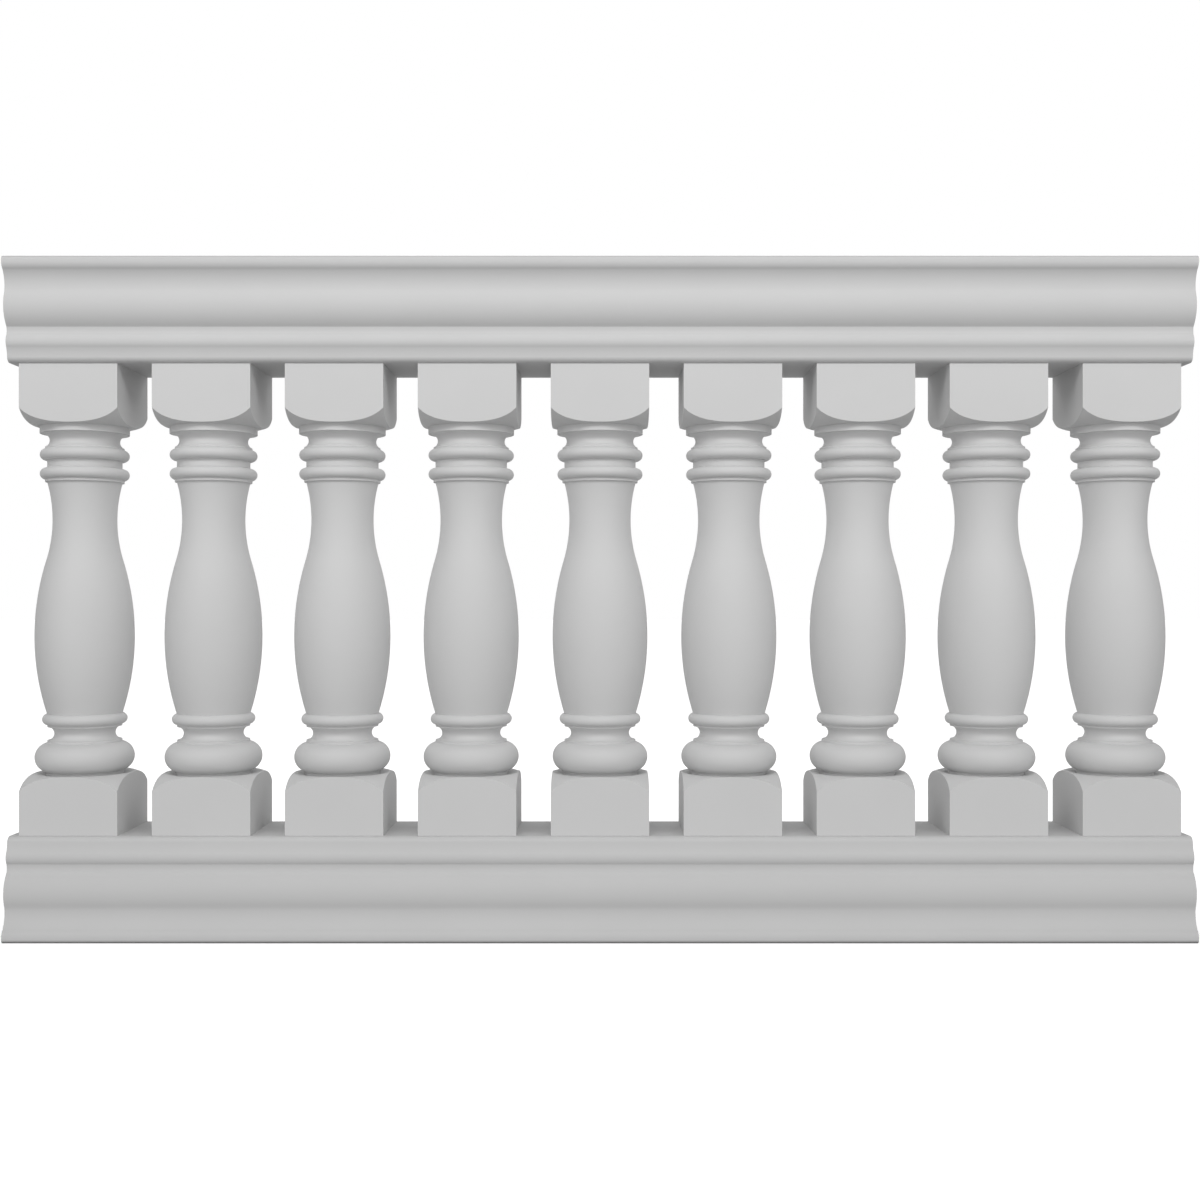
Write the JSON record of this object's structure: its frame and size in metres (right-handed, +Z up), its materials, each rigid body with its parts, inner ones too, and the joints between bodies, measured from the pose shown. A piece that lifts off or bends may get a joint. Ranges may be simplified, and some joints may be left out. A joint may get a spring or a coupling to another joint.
{
  "type": "deck railing section",
  "caption": "Open balustrade section with moulded top and bottom rails and a row of turned balusters with square end blocks.",
  "frame": {"origin": "on the ground, under the middle of the bottom rail", "axes": "+X along the rails, -Y towards the viewer, +Z up"},
  "size_m": [1.524, 0.1778, 0.8763],
  "materials": {
    "rail_primer": "matt primer",
    "baluster_primer": "matt primer"
  },
  "bodies": {
    "root": {"bottom_rail": "rail_primer", "top_rail": "rail_primer", "baluster_1": "baluster_primer", "baluster_2": "baluster_primer", "baluster_3": "baluster_primer", "baluster_4": "baluster_primer", "baluster_5": "baluster_primer", "baluster_6": "baluster_primer", "baluster_7": "baluster_primer", "baluster_8": "baluster_primer", "baluster_9": "baluster_primer"}
  },
  "joints": []
}
